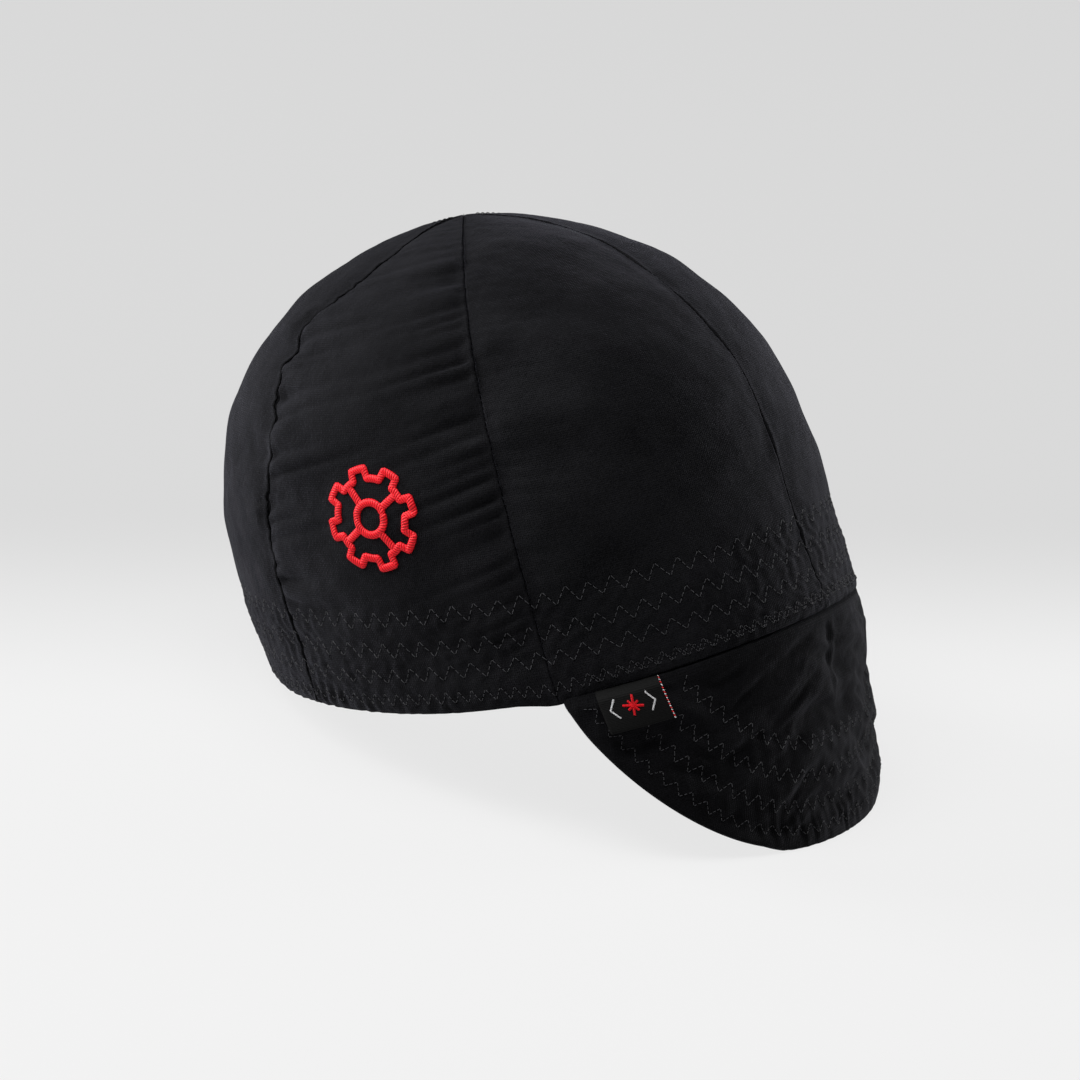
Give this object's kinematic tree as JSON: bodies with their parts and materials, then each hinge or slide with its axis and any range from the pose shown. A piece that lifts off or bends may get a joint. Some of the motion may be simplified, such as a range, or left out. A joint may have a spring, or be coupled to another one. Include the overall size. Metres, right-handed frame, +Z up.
{
  "type": "welding cap",
  "caption": "Round crown of cloth panels with a stitched rim band and a soft drooping brim, resting on brim edge and rear hem.",
  "frame": {"origin": "on the floor, under the middle of the cap from front to back, in its plane of symmetry", "axes": "+Z up from the floor the cap rests on, -Y towards the brim at the front, +X towards the wearer's left"},
  "size_m": [0.1772, 0.2376, 0.1642],
  "materials": {
    "crown_cloth": "black cotton, matt with a slight cool sheen",
    "brim_cloth": "black cotton, stitched through in rows, matt",
    "label_cloth": "black woven tape, smooth and slightly satin",
    "motif_thread": "red embroidery thread laid in satin stitch, with a silky shine"
  },
  "bodies": {
    "root": {"crown_panel_front_right": "crown_cloth", "crown_panel_side_right": "crown_cloth", "crown_panel_rear_right": "crown_cloth", "crown_panel_front_left": "crown_cloth", "crown_panel_side_left": "crown_cloth", "crown_panel_rear_left": "crown_cloth", "brim": "brim_cloth", "side_label": "label_cloth", "side_motif": "motif_thread"}
  },
  "joints": []
}
